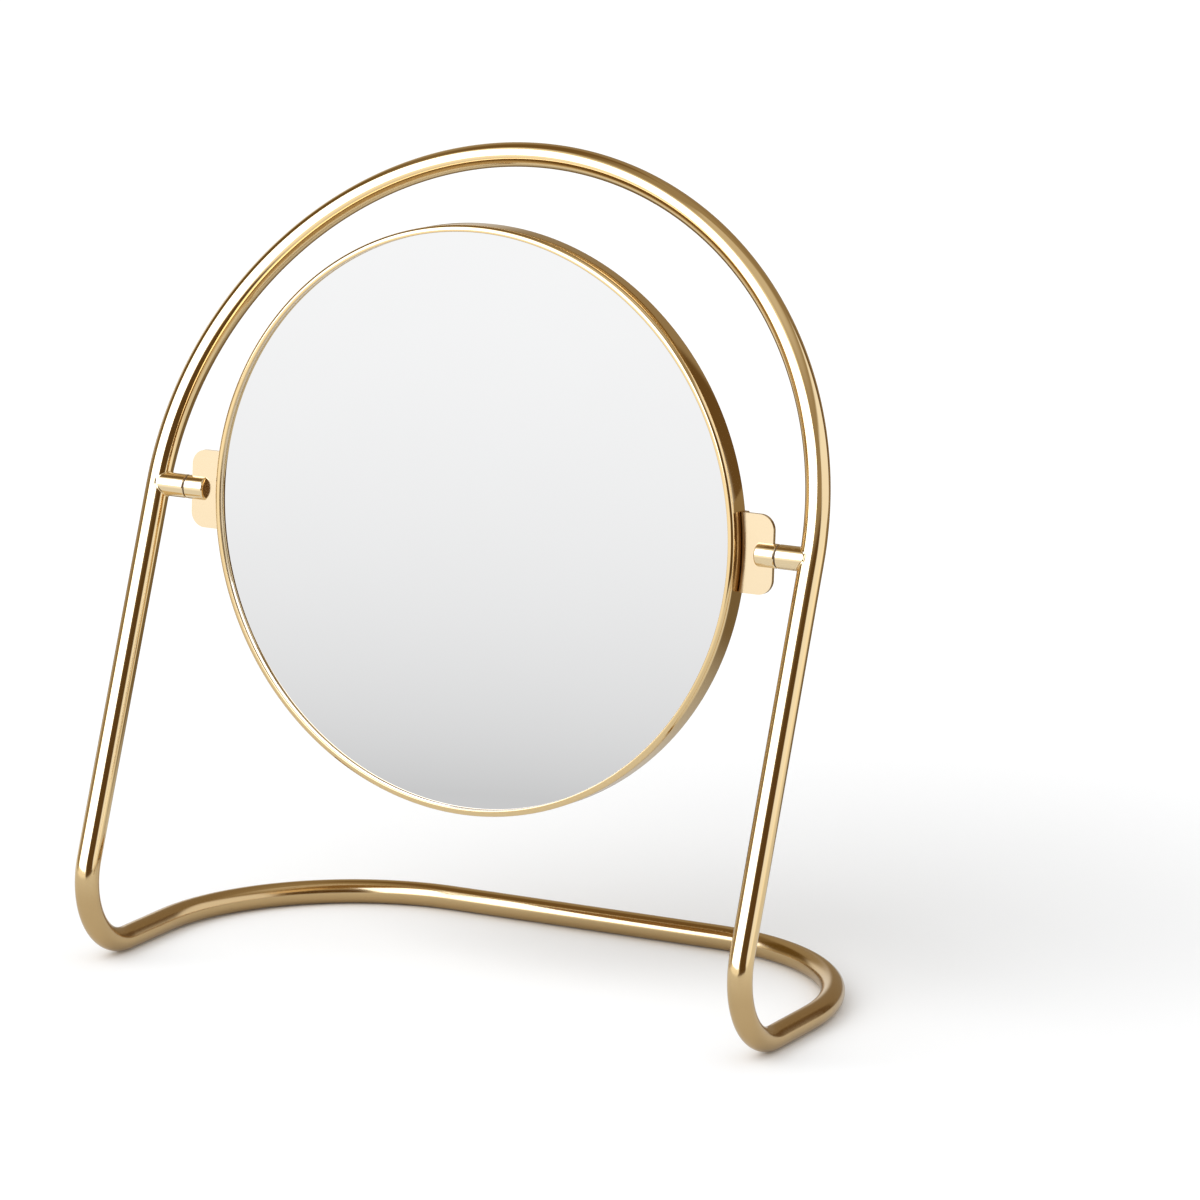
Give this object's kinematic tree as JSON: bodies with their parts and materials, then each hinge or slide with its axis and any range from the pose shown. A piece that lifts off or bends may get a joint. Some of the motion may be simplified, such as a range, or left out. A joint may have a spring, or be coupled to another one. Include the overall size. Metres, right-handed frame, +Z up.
{
  "type": "table mirror",
  "caption": "Round table mirror that tilts on side pivots between the legs of a looped brass tube stand.",
  "frame": {"origin": "on the table, at the middle of the stand's footprint", "axes": "+X to the viewer's right across the tilt axis, the mirror faces -Y, +Z up"},
  "size_m": [0.248, 0.1256, 0.2685],
  "materials": {
    "polished_brass": "polished",
    "plain_brass": "as drawn",
    "bracket_brass": "polished sheet",
    "cover_brass": "satin",
    "silvered_glass": "silvered",
    "bush_nylon": "moulded",
    "washer_nylon": "moulded",
    "foam": "foam",
    "board": "pressed board"
  },
  "bodies": {
    "stand": {"frame_tube": "polished_brass", "seam_spigot": "plain_brass", "pivot_stub_left": "polished_brass", "pivot_stub_right": "polished_brass", "pivot_bush_left": "bush_nylon", "pivot_bush_right": "bush_nylon", "thrust_washer_left": "washer_nylon", "thrust_washer_right": "washer_nylon"},
    "mirror_head": {"rim_ring": "polished_brass", "mirror_glass": "silvered_glass", "foam_pad": "foam", "backing_board": "board", "back_cover": "cover_brass", "side_bracket_left": "bracket_brass", "side_bracket_right": "bracket_brass", "pivot_knuckle_left": "polished_brass", "pivot_knuckle_right": "polished_brass"}
  },
  "joints": [
    {"name": "mirror_tilt", "type": "hinge", "parent": "stand", "child": "mirror_head", "pos_m": [0, -0.01172, 0.1527], "axis": [-1, 0, 0], "continuous": true}
  ]
}
